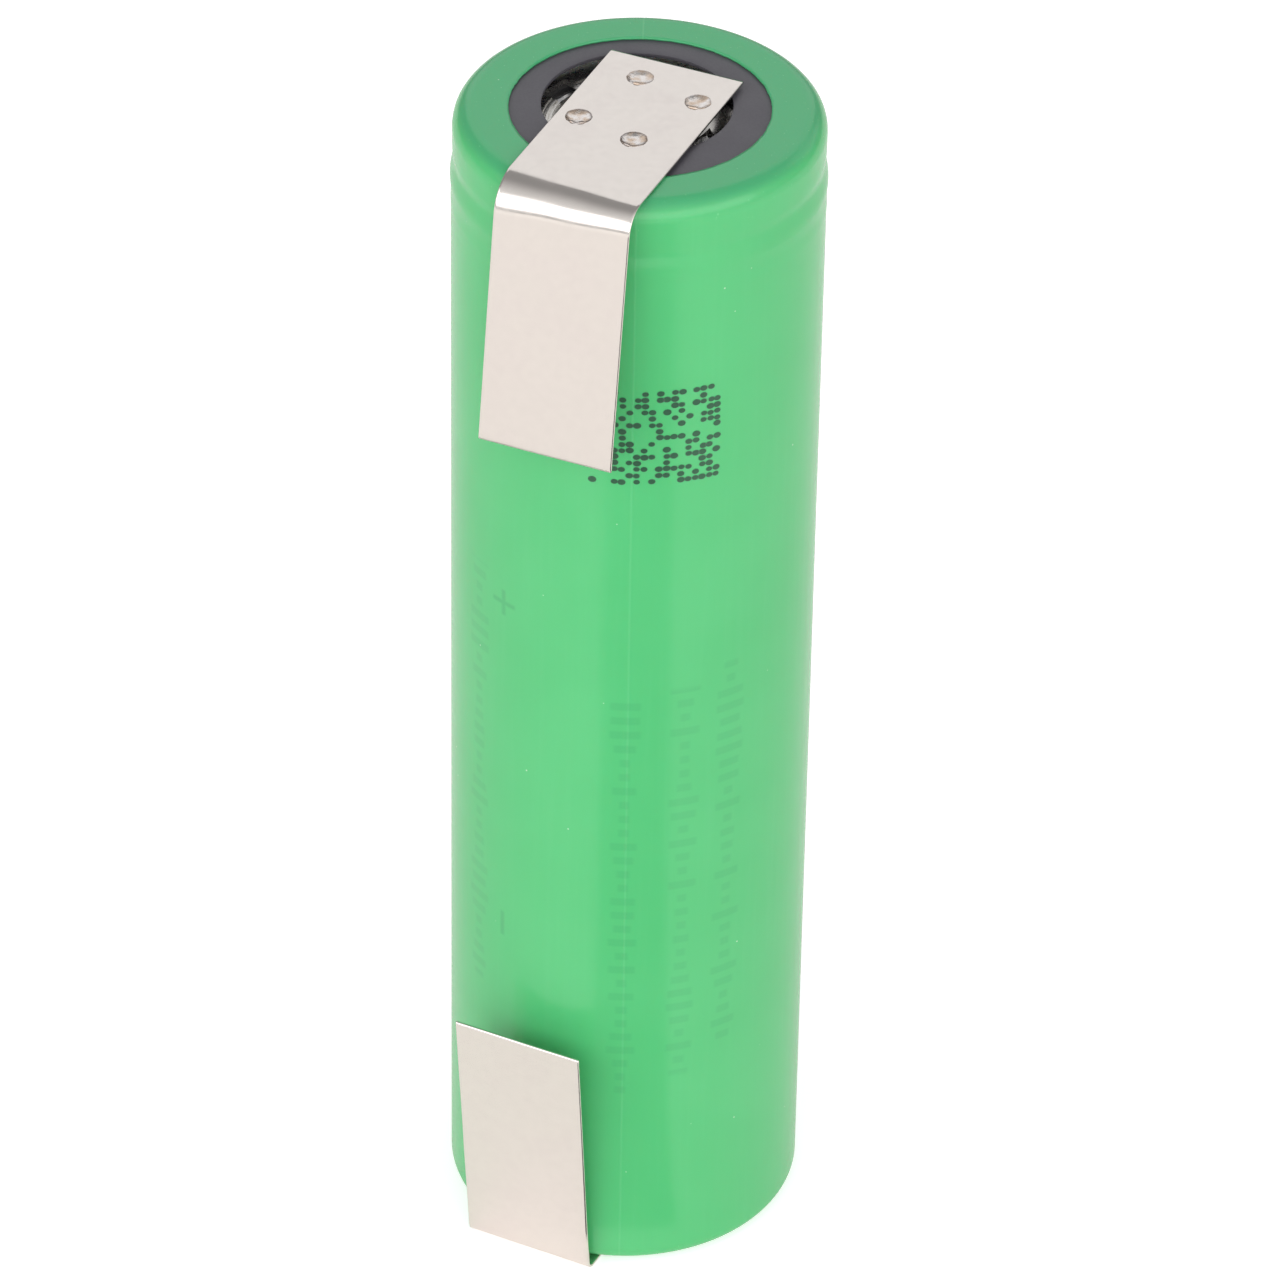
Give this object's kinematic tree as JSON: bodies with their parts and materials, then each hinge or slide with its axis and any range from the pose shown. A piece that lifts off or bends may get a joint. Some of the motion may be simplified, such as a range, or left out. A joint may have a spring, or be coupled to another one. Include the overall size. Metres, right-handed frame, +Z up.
{
  "type": "cylindrical battery cell",
  "caption": "Cylindrical lithium-ion cell in a green heat-shrink sleeve, with a bendable nickel solder tab welded to each end.",
  "frame": {"origin": "on the cell's axis, on the underside of the negative tab, where the cell stands", "axes": "+Z up along the cell from its negative end to its positive end; both tabs fold along the -Y side"},
  "size_m": [0.0184, 0.0211, 0.0655],
  "materials": {
    "sleeve": "satin, slightly milky shrink film",
    "washer": "satin vulcanised fibre",
    "can": "satin nickel plating on deep-drawn steel",
    "cap": "bright nickel plating on pressed steel",
    "gasket": "translucent moulded polypropylene",
    "ptc": "carbon-filled polymer",
    "aluminium": "mill-finish aluminium",
    "insulator": "matte white polymer",
    "cathode": "matte black coating on aluminium foil",
    "anode": "matte graphite coating on copper foil",
    "separator": "matte microporous film",
    "tape": "glossy green film tape",
    "nickel": "soft rolled nickel, matte and faintly mottled",
    "weld": "rough spot weld with a straw heat tint"
  },
  "bodies": {
    "cell": {"heat_shrink_sleeve": "sleeve", "insulating_washer": "washer", "can": "can", "crimp_gasket": "gasket", "positive_cap": "cap", "ptc_ring": "ptc", "vent_disc": "aluminium", "cid_insulator_ring": "insulator", "cid_contact_plate": "aluminium", "cathode_lead": "aluminium", "anode_lead": "nickel", "top_insulator": "insulator", "bottom_insulator": "insulator", "cathode_sheet": "cathode", "anode_sheet": "anode", "separator_inner": "separator", "separator_outer": "separator", "centre_pin": "can", "roll_tape": "tape", "positive_tab": "nickel", "positive_tab_welds": "weld", "negative_tab": "nickel", "negative_tab_welds": "weld"},
    "positive_leg": {"positive_tab_leg": "nickel"},
    "negative_leg": {"negative_tab_leg": "nickel"}
  },
  "joints": [
    {"name": "positive_tab_bend", "type": "hinge", "parent": "cell", "child": "positive_leg", "pos_m": [-0.00347, -0.00848, 0.06514], "axis": [-0.9171, 0.3987, 0], "range_deg": [-8, 82]},
    {"name": "negative_tab_bend", "type": "hinge", "parent": "cell", "child": "negative_leg", "pos_m": [-0.00477, -0.00802, 0.00017], "axis": [0.9026, -0.4305, 0], "range_deg": [-6, 80]}
  ]
}
